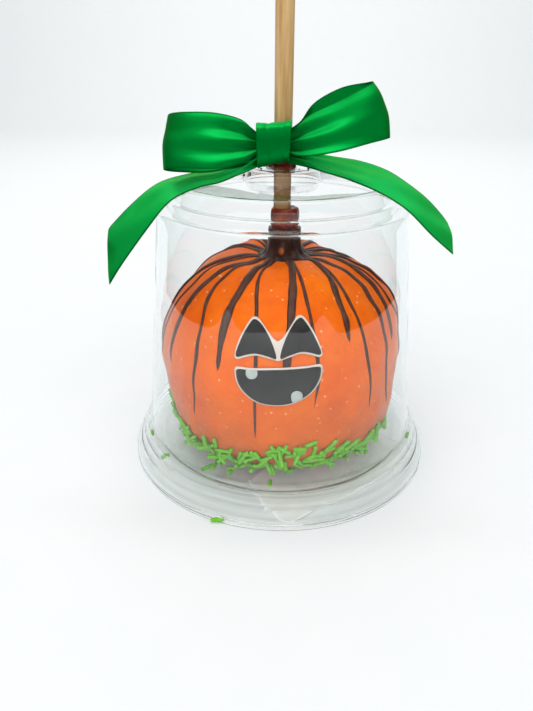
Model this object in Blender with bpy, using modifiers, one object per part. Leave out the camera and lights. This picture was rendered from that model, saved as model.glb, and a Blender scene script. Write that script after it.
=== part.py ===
# Caramel apple on a stick, decorated as a jack-o'-lantern pumpkin, in its clear dome pack with a ribbon bow.
# Metres, +Z up. Origin: centre of the pack's underside, on the surface that it stands on.
# The face looks to -Y.

import math

import bmesh
import bpy
import numpy as np

MM = 0.001
GAP = 0.3 * MM  # clearance that touching pieces keep

# Apple in its hardened candy coating
APPLE_RADIUS = 43.2 * MM
APPLE_WAIST_Z = 40.0 * MM  # height of the widest ring
APPLE_RISE = 38.0 * MM  # waist to the top of the shoulders
APPLE_DROP = 37.0 * MM  # waist to where the underside would close
APPLE_POWER = 2.3  # above 2 the section is squarer than an ellipse
FOOT_POWER = 2.4
DIMPLE_DEPTH = 4.5 * MM
DIMPLE_RADIUS = 11.0 * MM
RIB_HEIGHT = 0.35 * MM
APPLE_STEPS = 40
APPLE_RINGS = 24

# Wooden stick
STICK_RADIUS = 2.8 * MM
STICK_BOTTOM_Z = 34.0 * MM
STICK_TOP_Z = 174.0 * MM

# Chocolate stem round the stick: (radius, height) in mm, top to foot
STEM_PROFILE = (
    (3.9, 91.2), (4.7, 90.3), (4.9, 87.0), (4.4, 85.2), (5.3, 84.0), (5.7, 80.5), (6.4, 77.5), (7.6, 75.6),
)
STEM_SINK_Z = 70.0 * MM

# Clear dome lid
WALL = 0.6 * MM
HOLE_RADIUS = 4.2 * MM
BOSS_RADIUS = 12.0 * MM
BOSS_TOP_Z = 104.6 * MM
PLATE_RADIUS = 34.9 * MM
PLATE_Z = 100.4 * MM
STEP_RADIUS = 38.1 * MM
STEP_Z = 95.3 * MM
SHOULDER_RADIUS = 42.0 * MM
SHOULDER_Z = 92.4 * MM
WALL_FOOT_RADIUS = 49.6 * MM
WALL_FOOT_Z = 14.6 * MM
SKIRT_TOP_RADIUS = 52.0 * MM
SKIRT_TOP_Z = 12.6 * MM
SKIRT_FOOT_RADIUS = 54.6 * MM
SKIRT_FOOT_Z = 3.2 * MM
LIP_RADIUS = 56.3 * MM
ROUND_STEPS = 36  # facets round the lid and the tray

# Clear tray: a raised floor, a ridge inside the lid's skirt, and a flared wall down to the rim
TRAY_WALL = 0.7 * MM
FLOOR_Z = 5.6 * MM  # top of the raised floor
FLOOR_RADIUS = 43.5 * MM
RIDGE_RADIUS = 47.5 * MM
RIDGE_Z = 9.6 * MM
RIDGE_OUTER_RADIUS = 50.4 * MM
RIM_Z = 1.6 * MM

# Printed face stuck on the coating, in mm: sideways from its own centre line, upper height, lower height
FACE_CENTRE_X = -0.3 * MM
FACE_TILT = math.radians(2.3)
STICKER_THICKNESS = 0.4 * MM
EYE_HALF = (
    (0.0, 59.8, 54.3), (1.6, 61.1, 54.7), (3.2, 62.7, 55.1), (4.5, 64.4, 55.5), (5.6, 65.6, 55.7),
    (6.7, 66.0, 55.8), (8.0, 65.3, 55.7), (9.6, 63.3, 55.3), (11.2, 61.0, 54.8), (12.4, 58.4, 54.5),
    (13.2, 56.0, 55.2),
)
MOUTH_HALF_WIDTH = 13.4
MOUTH_TOP_Z = 52.1
MOUTH_DROP_Z = 51.4  # height from which the lower edge's half ellipse hangs
MOUTH_DEPTH = 12.4
MOUTH_STEPS = 12  # columns from the middle to each corner

# Satin ribbon tied in a bow in front of the stick. Each strip is a list of (upper edge, lower edge) in mm.
RIBBON_THICKNESS = 0.45 * MM
KNOT_CENTRE = (-0.0031, -0.0083, 0.1124)
KNOT_SIZE = (0.0110, 0.0100, 0.0124)
TIE_RADIUS = 4.2 * MM
TIE_Z = (108.5 * MM, 115.5 * MM)
LEFT_LOOP = (
    ((-4, -7.5, 114.5), (-4, -10.5, 109.8)), ((-8.4, -6.9, 115.4), (-8.2, -11.6, 109.4)),
    ((-13, -7.6, 119.2), (-12.5, -16.0, 107.4)), ((-21, -7.9, 121.2), (-20.4, -19.2, 106.4)),
    ((-30, -6.6, 121.2), (-29.6, -17.6, 106.4)), ((-35.4, -3.2, 120.4), (-35.6, -14.6, 105.8)),
    ((-36.4, 1.6, 118.8), (-37.0, -9.6, 104.6)), ((-32, 4.2, 117.6), (-32.6, -6.6, 103.8)),
    ((-22, 3.2, 117.0), (-22.4, -6.8, 104.4)), ((-12.6, -1.6, 115.0), (-12.4, -8.0, 106.6)),
    ((-4, -5.5, 113.0), (-4, -8.2, 109.0)),
)
RIGHT_LOOP = (
    ((-1, -7.5, 115.0), (-1, -10.5, 110.0)), ((2.4, -7.2, 116.4), (2.4, -11.0, 109.6)),
    ((7.4, -7.2, 120.6), (7.0, -15.6, 109.4)), ((15, -6.6, 124.0), (15.4, -18.6, 111.2)),
    ((22.6, -5.6, 127.6), (25.0, -16.8, 113.4)), ((26.8, -2.6, 129.6), (31.6, -12.6, 114.6)),
    ((25.4, 2.4, 129.4), (30.0, -7.6, 114.8)), ((18, 5.0, 127.6), (21.0, -5.8, 113.4)),
    ((9.6, 3.6, 123.2), (11.4, -6.0, 111.8)), ((4.6, -3.9, 118.0), (4.6, -6.9, 110.6)),
    ((-1, -5.6, 114.0), (-1, -8.4, 109.6)),
)
LEFT_TAIL = (
    ((-3.6, -5.0, 110.6), (-3.6, -9.4, 109.0)), ((-8.0, -3.4, 108.6), (-7.6, -10.6, 106.8)),
    ((-14, -2.2, 105.6), (-12.6, -14.6, 104.8)), ((-22.2, -1.4, 103.4), (-18.6, -18.9, 102.9)),
    ((-31.0, -2.4, 102.6), (-25.4, -19.9, 101.8)), ((-40.6, -4.4, 99.8), (-33.4, -21.2, 97.4)),
    ((-49.9, -7.1, 92.6), (-41.2, -22.6, 89.2)), ((-56.0, -8.6, 87.0), (-49.0, -23.2, 79.2)),
    ((-57.2, -9.4, 85.0), (-55.0, -22.0, 70.8)),
)
RIGHT_TAIL = (
    ((-1.8, -5.0, 110.6), (-1.8, -9.4, 109.0)), ((2.8, -3.6, 109.6), (2.8, -10.4, 107.4)),
    ((9.4, -2.4, 108.8), (8.2, -14.2, 106.6)), ((17.0, -0.8, 107.6), (13.8, -18.0, 105.2)),
    ((25.6, -1.6, 106.2), (20.8, -19.1, 103.2)), ((35.2, -3.4, 103.2), (29.1, -20.6, 100.2)),
    ((44.4, -5.1, 97.4), (37.4, -22.0, 95.2)), ((51.4, -6.4, 91.2), (45.4, -23.4, 88.3)),
    ((54.0, -7.6, 88.4), (53.4, -20.6, 81.6)),
)

# Blank paper slip lying under the raised floor: outline corners in mm
SLIP_OUTLINE = (
    (3.2, -53.2), (13.0, -46.2), (22.8, -39.6), (34.0, -30.4), (43.0, -21.6), (50.0, -8.0), (34.0, 6.0),
    (-6.0, -24.0), (-10.6, -31.0), (-9.6, -34.6), (-6.6, -40.6), (-4.6, -44.6), (-0.4, -49.6), (0.6, -51.2),
)
SLIP_THICKNESS = 0.25 * MM


def clear_scene():
    for obj in list(bpy.data.objects):
        bpy.data.objects.remove(obj, do_unlink=True)


def new_collection(name):
    collection = bpy.data.collections.new(name)
    bpy.context.scene.collection.children.link(collection)
    return collection


def make_material(name, colour, roughness, metallic=0.0, alpha=1.0):
    material = bpy.data.materials.new(name)
    material.use_nodes = True
    shader = material.node_tree.nodes["Principled BSDF"]
    shader.inputs["Base Color"].default_value = (*colour, 1.0)
    shader.inputs["Roughness"].default_value = roughness
    shader.inputs["Metallic"].default_value = metallic
    shader.inputs["Alpha"].default_value = alpha
    return material


def add_object(name, mesh, material, collection):
    obj = bpy.data.objects.new(name, mesh)
    obj.data.materials.append(material)
    collection.objects.link(obj)
    return obj


def mesh_from_bmesh(name, bm):
    mesh = bpy.data.meshes.new(name)
    bm.to_mesh(mesh)
    bm.free()
    mesh.shade_smooth()
    return mesh


def add_cylinder(name, radius, foot_z, top_z, segments, material, collection):
    bm = bmesh.new()
    size = {"radius1": radius, "radius2": radius, "depth": top_z - foot_z}
    bmesh.ops.create_cone(bm, cap_ends=True, segments=segments, **size)
    bmesh.ops.translate(bm, verts=bm.verts, vec=(0, 0, (top_z + foot_z) / 2))
    return add_object(name, mesh_from_bmesh(name, bm), material, collection)


def add_solidify(obj, thickness, offset):
    wall = obj.modifiers.new("wall", "SOLIDIFY")
    wall.thickness = thickness
    wall.offset = offset


def add_boolean(obj, other, operation):
    """Cuts or joins with another object, which stays in the file as a guide."""
    other.hide_render = True
    other.display_type = "WIRE"
    step = obj.modifiers.new(other.name, "BOOLEAN")
    step.operation = operation
    step.object = other


def turned(name, points, steps, material, collection, closed=False):
    """Turned piece: (radius, height) points down the outer side, spun about Z by a Screw modifier."""
    edges = [(i, i + 1) for i in range(len(points) - 1)]
    if closed:
        edges.append((len(points) - 1, 0))
    mesh = bpy.data.meshes.new(name)
    mesh.from_pydata([(r, 0.0, z) for r, z in points], edges, [])
    obj = add_object(name, mesh, material, collection)
    screw = obj.modifiers.new("turn", "SCREW")
    screw.axis = "Z"
    screw.angle = 2 * math.pi
    screw.steps = screw.render_steps = steps
    screw.use_merge_vertices = True
    screw.merge_threshold = 0.00001
    return obj


def corner(centre_radius, centre_z, radius, start_deg, end_deg):
    """Three points round a moulded corner in the (radius, height) plane."""
    angles = np.radians(np.linspace(start_deg, end_deg, 3))
    return [(centre_radius + radius * math.cos(a), centre_z + radius * math.sin(a)) for a in angles]


def smooth_path(points, steps_between, closed=False):
    """Catmull-Rom curve through the points, as an array with steps_between samples for each stretch."""
    points = np.asarray(points, float)
    count = len(points)
    stretches = count if closed else count - 1
    samples = np.linspace(0, stretches, stretches * steps_between + (0 if closed else 1), endpoint=not closed)
    index = np.minimum(samples.astype(int), stretches - 1)
    t = (samples - index)[:, None]

    def pick(offset):
        place = index + offset
        return points[place % count] if closed else points[np.clip(place, 0, count - 1)]

    before, start, end, after = pick(-1), pick(0), pick(1), pick(2)
    return 0.5 * (2 * start + (end - before) * t + (2 * before - 5 * start + 4 * end - after) * t**2
                  + (3 * start - before - 3 * end + after) * t**3)


def apple_radius_at(height):
    """Radius of the smooth apple at a height: the squared ellipse solved for its radius."""
    above = height > APPLE_WAIST_Z
    power = APPLE_POWER if above else FOOT_POWER
    reach = APPLE_RISE if above else APPLE_DROP
    return APPLE_RADIUS * max(0.0, 1 - (abs(height - APPLE_WAIST_Z) / reach) ** power) ** (1 / power)


def apple_point(polar, azimuth):
    """A squared ellipse of revolution with faint ribs and a dimple round the stick, flat at the foot."""
    c, s = math.cos(polar), math.sin(polar)
    power = APPLE_POWER if c > 0 else FOOT_POWER
    reach = APPLE_RISE if c > 0 else APPLE_DROP
    radius = APPLE_RADIUS * abs(s) ** (2 / power)
    height = APPLE_WAIST_Z + reach * math.copysign(abs(c) ** (2 / power), c)
    ribs = math.cos(7 * azimuth + 0.6) + 0.7 * math.cos(3 * azimuth - 0.9) - 1.2
    radius += RIB_HEIGHT * ribs * s * s
    if c > 0:
        height -= DIMPLE_DEPTH * math.exp(-((radius / DIMPLE_RADIUS) ** 2))
    height = max(height, FLOOR_Z + GAP)
    return radius * math.cos(azimuth), radius * math.sin(azimuth), height


def make_apple(material, collection, cutters):
    bm = bmesh.new()
    bmesh.ops.create_uvsphere(bm, u_segments=APPLE_STEPS, v_segments=APPLE_RINGS, radius=1.0)
    for vert in bm.verts:
        polar = math.acos(max(-1.0, min(1.0, vert.co.z)))
        vert.co = apple_point(polar, math.atan2(vert.co.y, vert.co.x))
    apple = add_object("apple", mesh_from_bmesh("apple", bm), material, collection)
    above_all = APPLE_WAIST_Z + 2 * APPLE_RISE
    stick_hole = add_cylinder(
        "stick_hole", STICK_RADIUS + GAP, STICK_BOTTOM_Z - GAP, above_all, 24, material, cutters,
    )
    stem_seat = add_cylinder(
        "stem_seat", STEM_PROFILE[-1][0] * MM + GAP, STEM_SINK_Z - GAP, above_all, 32, material, cutters,
    )
    add_boolean(apple, stick_hole, "DIFFERENCE")
    add_boolean(apple, stem_seat, "DIFFERENCE")


def make_stick(material, collection):
    stick = add_cylinder("stick", STICK_RADIUS, STICK_BOTTOM_Z, STICK_TOP_Z, 24, material, collection)
    bevel = stick.modifiers.new("worn_ends", "BEVEL")
    bevel.width = 0.5 * MM
    bevel.segments = 2
    bevel.limit_method = "ANGLE"


def make_stem(material, collection):
    """Thick chocolate sleeve round the stick, its foot sunk in the apple's dimple."""
    bore = STICK_RADIUS + GAP
    outer = [(radius * MM, height * MM) for radius, height in STEM_PROFILE]
    points = [(bore, STEM_SINK_Z), (bore, outer[0][1])] + outer + [(outer[-1][0], STEM_SINK_Z)]
    turned("stem", points, 32, material, collection, closed=True)


def make_dome(material, collection):
    """Outer side of the lid from the stick's hole down to its lip, thickened inwards."""
    points = [(HOLE_RADIUS, BOSS_TOP_Z)]
    points += corner(BOSS_RADIUS - 1.2 * MM, BOSS_TOP_Z - 1.2 * MM, 1.2 * MM, 90, 10)
    points += [(BOSS_RADIUS + 1.2 * MM, PLATE_Z)]
    points += corner(PLATE_RADIUS - 1.5 * MM, PLATE_Z - 1.5 * MM, 1.5 * MM, 90, 10)
    points += [(PLATE_RADIUS + 0.7 * MM, STEP_Z + 0.6 * MM)]
    points += corner(STEP_RADIUS - 1.2 * MM, STEP_Z - 1.2 * MM, 1.2 * MM, 85, 10)
    points += [(STEP_RADIUS + 0.6 * MM, SHOULDER_Z + 0.5 * MM)]
    points += corner(SHOULDER_RADIUS - 1.4 * MM, SHOULDER_Z - 1.4 * MM, 1.4 * MM, 85, 5)
    points += [(WALL_FOOT_RADIUS, WALL_FOOT_Z), (WALL_FOOT_RADIUS + 0.6 * MM, WALL_FOOT_Z - 1.2 * MM)]
    points += corner(SKIRT_TOP_RADIUS - 0.8 * MM, SKIRT_TOP_Z - 0.8 * MM, 0.8 * MM, 80, 10)
    points += [(SKIRT_FOOT_RADIUS, SKIRT_FOOT_Z), (LIP_RADIUS, SKIRT_FOOT_Z - 0.4 * MM)]
    dome = turned("dome", points, ROUND_STEPS, material, collection)
    add_solidify(dome, WALL, -1)


def make_tray(material, collection):
    """Upper side from the centre out to the rim, then back along the underside."""
    lean = SKIRT_FOOT_RADIUS - 1.3 * MM
    upper = [
        (0.0, FLOOR_Z), (FLOOR_RADIUS, FLOOR_Z), (FLOOR_RADIUS + 1.4 * MM, FLOOR_Z + 0.8 * MM),
        (RIDGE_RADIUS - 1.0 * MM, RIDGE_Z - 0.5 * MM), (RIDGE_RADIUS, RIDGE_Z),
        (RIDGE_OUTER_RADIUS - 0.8 * MM, RIDGE_Z), (RIDGE_OUTER_RADIUS, RIDGE_Z - 0.8 * MM),
        (lean, RIM_Z), (LIP_RADIUS, RIM_Z), (LIP_RADIUS, 0.0),
    ]
    under = [
        (LIP_RADIUS - TRAY_WALL, 0.0), (LIP_RADIUS - TRAY_WALL, RIM_Z - TRAY_WALL),
        (lean - TRAY_WALL, RIM_Z - TRAY_WALL), (RIDGE_OUTER_RADIUS - 0.9 * MM, RIDGE_Z - 1.1 * MM),
        (RIDGE_OUTER_RADIUS - 1.2 * MM, RIDGE_Z - TRAY_WALL), (RIDGE_RADIUS + 0.3 * MM, RIDGE_Z - TRAY_WALL),
        (RIDGE_RADIUS - 0.3 * MM, RIDGE_Z - 1.2 * MM), (FLOOR_RADIUS + 1.9 * MM, FLOOR_Z + 0.2 * MM),
        (FLOOR_RADIUS + 0.3 * MM, FLOOR_Z - TRAY_WALL), (0.0, FLOOR_Z - TRAY_WALL),
    ]
    turned("base_tray", upper + under, ROUND_STEPS, material, collection)


def make_sticker(name, half, material, collection):
    """Thin film: columns of three points, mirrored about the centre line and pushed back onto the apple."""
    columns = [(-x, top, bottom) for x, top, bottom in half[:0:-1]] + list(half)
    tilt_cos, tilt_sin = math.cos(FACE_TILT), math.sin(FACE_TILT)
    pivot = MOUTH_TOP_Z * MM
    bm = bmesh.new()
    rows = []
    for x, top, bottom in columns:
        row = []
        for z in (top, (top + bottom) / 2, bottom):
            across, up = x * MM, z * MM - pivot
            sideways = FACE_CENTRE_X + across * tilt_cos - up * tilt_sin
            height = pivot + across * tilt_sin + up * tilt_cos
            depth = math.sqrt(apple_radius_at(height) ** 2 - sideways**2) + 2 * GAP
            row.append(bm.verts.new((sideways, -depth, height)))
        rows.append(row)
    for near, far in zip(rows, rows[1:]):
        for k in range(2):
            bm.faces.new((near[k + 1], far[k + 1], far[k], near[k]))
    sticker = add_object(name, mesh_from_bmesh(name, bm), material, collection)
    add_solidify(sticker, STICKER_THICKNESS, 1)


def mouth_half():
    """Columns of the mouth: a level top over half an ellipse."""
    turns = [math.pi / 2 * k / MOUTH_STEPS for k in range(MOUTH_STEPS + 1)]
    return [
        (MOUTH_HALF_WIDTH * math.sin(turn), MOUTH_TOP_Z, MOUTH_DROP_Z - MOUTH_DEPTH * math.cos(turn))
        for turn in turns
    ]


def make_face(material, collection):
    make_sticker("face_eyes", EYE_HALF, material, collection)
    make_sticker("face_mouth", mouth_half(), material, collection)


def make_strip(name, stations, material, collection):
    """Ribbon lofted between its two edges, each a smooth curve, then given its thickness."""
    edges = smooth_path([np.concatenate(station) for station in stations], 3) * MM
    bm = bmesh.new()
    rows = []
    for edge in edges:
        upper, lower = edge[:3], edge[3:]
        rows.append([bm.verts.new(upper + (lower - upper) * share) for share in (0.0, 0.5, 1.0)])
    for near, far in zip(rows, rows[1:]):
        for k in range(2):
            bm.faces.new((near[k], near[k + 1], far[k + 1], far[k]))
    strip = add_object(name, mesh_from_bmesh(name, bm), material, collection)
    add_solidify(strip, RIBBON_THICKNESS, 0)
    return strip


def make_bow(material, collection, cutters):
    """One ribbon: the knot joined with two loops, two tails and the turn round the stick."""
    bm = bmesh.new()
    bmesh.ops.create_cube(bm, size=1.0)
    bmesh.ops.scale(bm, verts=bm.verts, vec=KNOT_SIZE)
    bmesh.ops.translate(bm, verts=bm.verts, vec=KNOT_CENTRE)
    bmesh.ops.bevel(bm, geom=bm.edges, offset=2.2 * MM, segments=3, affect="EDGES", profile=0.5)
    bow = add_object("ribbon_bow", mesh_from_bmesh("ribbon_bow", bm), material, collection)
    inner, outer = STICK_RADIUS + GAP, TIE_RADIUS
    low, high = TIE_Z
    section = [(inner, high), (outer, high), (outer, low), (inner, low)]
    turn = turned("ribbon_turn", section, 24, material, cutters, closed=True)
    add_boolean(bow, turn, "UNION")
    names = ("left_loop", "right_loop", "left_tail", "right_tail")
    for name, stations in zip(names, (LEFT_LOOP, RIGHT_LOOP, LEFT_TAIL, RIGHT_TAIL)):
        add_boolean(bow, make_strip(name, stations, material, cutters), "UNION")


def make_slip(material, collection):
    curve = bpy.data.curves.new("slip_outline", "CURVE")
    curve.dimensions = "2D"
    curve.fill_mode = "BOTH"
    curve.extrude = SLIP_THICKNESS / 2
    spline = curve.splines.new("POLY")
    spline.points.add(len(SLIP_OUTLINE) - 1)
    for point, (x, y) in zip(spline.points, SLIP_OUTLINE):
        point.co = (x * MM, y * MM, 0, 1)
    spline.use_cyclic_u = True
    slip = bpy.data.objects.new("paper_slip", curve)
    slip.data.materials.append(material)
    slip.location.z = SLIP_THICKNESS / 2
    collection.objects.link(slip)


def main():
    clear_scene()
    collection = new_collection("caramel_apple")
    cutters = new_collection("guides")
    coating = make_material("candy_coating", (0.80, 0.19, 0.03), 0.35)
    wood = make_material("birch", (0.74, 0.55, 0.33), 0.6)
    chocolate = make_material("chocolate", (0.09, 0.03, 0.015), 0.4)
    plastic = make_material("clear_pet", (0.9, 0.93, 0.95), 0.05, alpha=0.25)
    print_ink = make_material("printed_film", (0.03, 0.03, 0.03), 0.4)
    satin = make_material("green_satin", (0.0, 0.28, 0.04), 0.35)
    paper = make_material("paper", (0.85, 0.85, 0.83), 0.8)
    make_apple(coating, collection, cutters)
    make_stick(wood, collection)
    make_stem(chocolate, collection)
    make_face(print_ink, collection)
    make_dome(plastic, collection)
    make_tray(plastic, collection)
    make_bow(satin, collection, cutters)
    make_slip(paper, collection)


main()
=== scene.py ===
import math
from functools import partial

import bmesh
import bpy
import numpy as np
from mathutils import Matrix, Vector


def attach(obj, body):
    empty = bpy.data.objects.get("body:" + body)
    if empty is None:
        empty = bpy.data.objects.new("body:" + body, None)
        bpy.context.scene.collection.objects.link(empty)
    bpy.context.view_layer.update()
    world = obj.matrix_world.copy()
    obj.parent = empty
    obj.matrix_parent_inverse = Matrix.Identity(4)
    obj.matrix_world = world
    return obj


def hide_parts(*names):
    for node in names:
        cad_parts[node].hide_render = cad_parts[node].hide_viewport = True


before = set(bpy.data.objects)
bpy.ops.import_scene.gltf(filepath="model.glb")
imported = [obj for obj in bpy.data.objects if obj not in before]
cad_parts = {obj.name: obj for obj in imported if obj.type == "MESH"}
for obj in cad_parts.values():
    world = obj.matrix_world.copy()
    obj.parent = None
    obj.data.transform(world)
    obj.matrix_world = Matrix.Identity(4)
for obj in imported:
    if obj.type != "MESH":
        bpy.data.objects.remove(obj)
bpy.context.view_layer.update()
mm = 0.001
print("frame loaded:", sorted(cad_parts))


def toLinear(hexColour):
    # sRGB hex to linear RGBA: c/12.92 below 0.04045, else ((c+0.055)/1.055)^2.4
    values = [int(hexColour[i:i + 2], 16) / 255 for i in (1, 3, 5)]
    return (*[c / 12.92 if c <= 0.04045 else ((c + 0.055) / 1.055) ** 2.4 for c in values], 1.0)


def addNode(tree, kind, inputs=None, ramp=None, **settings):
    # one shader node. An input takes a value, a hex colour, a socket, or a node for its first output.
    node = tree.nodes.new("ShaderNode" + kind)
    for name, value in settings.items():
        setattr(node, name, value)
    for name, value in (inputs or {}).items():
        if isinstance(value, bpy.types.Node):
            value = value.outputs[0]
        if isinstance(value, bpy.types.NodeSocket):
            tree.links.new(value, node.inputs[name])
        else:
            node.inputs[name].default_value = toLinear(value) if isinstance(value, str) else value
    if ramp:
        stops = node.color_ramp.elements
        while len(stops) < len(ramp):
            stops.new(1.0)
        for stop, (place, colour) in zip(stops, ramp):
            stop.position = place
            stop.color = toLinear(colour)
    return node


def newMaterial(name):
    material = bpy.data.materials.new(name)
    material.use_nodes = True
    material.node_tree.nodes.clear()
    add = partial(addNode, material.node_tree)
    return material, add, add("TexCoord").outputs


def surface(material, inputs, through=None, tint="#FFFFFF"):
    # the material's one shader and its output; rays for which "through" is 1 pass straight through, tinted
    add = partial(addNode, material.node_tree)
    shader = add("BsdfPrincipled", inputs)
    if through:
        shader = add("MixShader", {0: through, 1: shader, 2: add("BsdfTransparent", {"Color": tint})})
    add("OutputMaterial", {0: shader})
    return material


def fullTurn(count):
    return np.linspace(0, 2 * math.pi, count, endpoint=False)


def turned(azimuth, radius, height):
    # x = r sin(azimuth), y = -r cos(azimuth): azimuth 0 faces -Y
    return np.stack(np.broadcast_arrays(np.sin(azimuth) * radius, -np.cos(azimuth) * radius, height), -1)


def gridFaces(rows, columns, closed=""):
    # quads of a rows x columns grid, wrapped round along what is closed: "rows", "columns" or both
    r = np.arange(rows if "rows" in closed else rows - 1)[:, None]
    c = np.arange(columns if "columns" in closed else columns - 1)[None, :]
    r2, c2 = (r + 1) % rows, (c + 1) % columns
    quads = [r * columns + c, r * columns + c2, r2 * columns + c2, r2 * columns + c]
    return np.stack([np.broadcast_to(q, (r.size, c.size)) for q in quads], -1).reshape(-1, 4)


def addPiece(name, points, material, slot=None, node=None, closed="", faces=None, uv=None, outward=True,
             smooth=True, crisp=None):
    # a grid of numpy points, or points and quads, into one mesh; doubled points at seams and poles are merged
    # a piece with a slot is part of the object and may replace a CAD node, one without is set dressing
    if faces is None:
        faces = gridFaces(*points.shape[:2], closed)
    points = np.ascontiguousarray(points, dtype=np.float32).reshape(-1, 3)
    if outward:
        a, b, c, d = (points[faces[:, k]].astype(float) for k in range(4))
        volume = (np.einsum("ij,ij->i", a, np.cross(b, c)) + np.einsum("ij,ij->i", a, np.cross(c, d))).sum()
        if volume < 0:
            faces = faces[:, ::-1]
    mesh = bpy.data.meshes.new(name)
    mesh.vertices.add(len(points))
    mesh.vertices.foreach_set("co", points.ravel())
    mesh.loops.add(faces.size)
    mesh.polygons.add(len(faces))
    mesh.polygons.foreach_set("loop_start", np.arange(0, faces.size, 4, dtype=np.int32))
    mesh.polygons.foreach_set("vertices", faces.astype(np.int32).ravel())
    if uv is not None:
        layer = mesh.uv_layers.new(name="flat")
        layer.data.foreach_set("uv", uv.reshape(-1, 2)[faces.ravel()].astype(np.float32).ravel())
    mesh.update()
    bm = bmesh.new()
    bm.from_mesh(mesh)
    bmesh.ops.remove_doubles(bm, verts=bm.verts, dist=1e-6)
    bm.to_mesh(mesh)
    bm.free()
    if smooth:
        mesh.shade_smooth()
    if crisp:
        mesh.set_sharp_from_angle(angle=math.radians(crisp))
    mesh.materials.append(material)
    piece = bpy.data.objects.new(name, mesh)
    bpy.context.scene.collection.objects.link(piece)
    if slot:
        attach(piece, "root")
    if node:
        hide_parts(node)
    return piece


def smoothPath(points, samples, closed=False):
    # Catmull-Rom curve: each stretch is a cubic through its two points, aimed along their neighbours
    points = np.asarray(points, float)
    count = len(points)
    stretches = count if closed else count - 1
    place = np.linspace(0, stretches, samples, endpoint=not closed)
    index = np.minimum(place.astype(int), stretches - 1)
    t = (place - index)[:, None]
    order = [(index + k) % count if closed else np.clip(index + k, 0, count - 1) for k in (-1, 0, 1, 2)]
    before, start, end, after = (points[k] for k in order)
    return 0.5 * (2 * start + (end - before) * t + (2 * before - 5 * start + 4 * end - after) * t**2
                  + (3 * start - before - 3 * end + after) * t**3)


def waves(points, size, seed, count=14):
    # smooth random field, mostly from -1 to 1: plane waves of about the given size summed, over the root of
    # their number
    rng = np.random.default_rng(seed)
    aims = rng.normal(size=(count, 3))
    aims *= (2 * math.pi / size) / np.linalg.norm(aims, axis=1)[:, None] * rng.uniform(0.7, 1.4, (count, 1))
    return np.sin(points @ aims.T + rng.uniform(0, 2 * math.pi, count)).sum(-1) / math.sqrt(count)


def unit(vectors):
    return vectors / np.maximum(np.linalg.norm(vectors, axis=-1, keepdims=True), 1e-12)


view = {
    "place": (0.00014, -0.19782, 0.13354),
    "pitch": 26.42,  # degrees below level
    "yaw": -1.52,
    "roll": 0.19,
    "lens": 29.37, "sensor": 36,  # mm along the frame's long side
    "near": 0.01,
}


def makeCamera():
    # forward from pitch and yaw, then the side and up axes rolled about it
    pitch, yaw, roll = (math.radians(view[k]) for k in ("pitch", "yaw", "roll"))
    forward = np.array([math.sin(yaw) * math.cos(pitch), math.cos(yaw) * math.cos(pitch), -math.sin(pitch)])
    side = np.array([math.cos(yaw), -math.sin(yaw), 0.0])
    up = np.cross(side, forward)
    rolledSide = side * math.cos(roll) + up * math.sin(roll)
    rolledUp = up * math.cos(roll) - side * math.sin(roll)
    data = bpy.data.cameras.new("camera")
    data.lens = view["lens"]
    data.sensor_width = view["sensor"]
    data.clip_start = view["near"]
    camera = bpy.data.objects.new("camera", data)
    matrix = np.eye(4)
    matrix[:3, 0], matrix[:3, 1], matrix[:3, 2], matrix[:3, 3] = rolledSide, rolledUp, -forward, view["place"]
    camera.matrix_world = Matrix(matrix.tolist())
    bpy.context.scene.collection.objects.link(camera)
    bpy.context.scene.camera = camera


studio = {
    "world": "#F2F6F8", "worldStrength": 0.6,
    # pale sweep in metres: half width and reach to the front, start and radius of its bend, height behind
    "floor": "#F3F5F5", "reach": 2.5, "bendStart": 1.2, "bendRadius": 0.6, "backHeight": 3.0,
    "lamps": [  # place, what it is aimed at, size, power in watts, whether glossy surfaces mirror it
        ((-0.15, -0.1, 0.9), (0.0, 0.0, 0.05), 0.7, 1.8, True),
        ((-0.5, -0.65, 0.62), (0.0, 0.0, 0.06), 0.8, 2.1, False),
        ((0.5, -0.65, 0.62), (0.0, 0.0, 0.06), 0.8, 2.0, False),
        ((0.0, -0.9, 0.26), (0.0, 0.0, 0.03), 0.6, 1.7, False),
        ((0.0, 0.5, 1.3), (0.0, 1.75, 0.5), 1.0, 10.0, False),
    ],
    # low dark card curved round the front of the pack, out of the picture: half axes, lower and upper edge in
    # metres, and the degrees that it reaches to each side
    "cardReach": (0.27, 0.326), "cardEdges": (0.001, 0.24), "cardSweep": 108.0, "cardSteps": 48,
    # the card steps back at two headings in degrees, by a share of its reach, over a width in radians
    "notches": (-48, 38), "notchShare": 0.28, "notchWidth": 0.13,
    # light passes a dozen plastic surfaces before it leaves the pack's rim
    "bounces": 32, "glossyBounces": 24,
}


def makeFloor():
    # straight along x, bent along a (y, z) path: level, a quarter circle, then upright
    turn = np.linspace(0, math.pi / 2, 24)
    start, radius = studio["bendStart"], studio["bendRadius"]
    bend = np.column_stack([start + radius * np.sin(turn), radius - radius * np.cos(turn)])
    path = np.vstack([[-studio["reach"], 0.0], bend, [start + radius, studio["backHeight"]]])
    points = np.stack([np.insert(path, 0, x, axis=1) for x in (-studio["reach"], studio["reach"])])
    paleCard = plainFinish("paleCard", "#F5F6F6", studio["floor"], 25.0, 0.6, 0.0)
    addPiece("floor", points, paleCard, outward=False)


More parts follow.
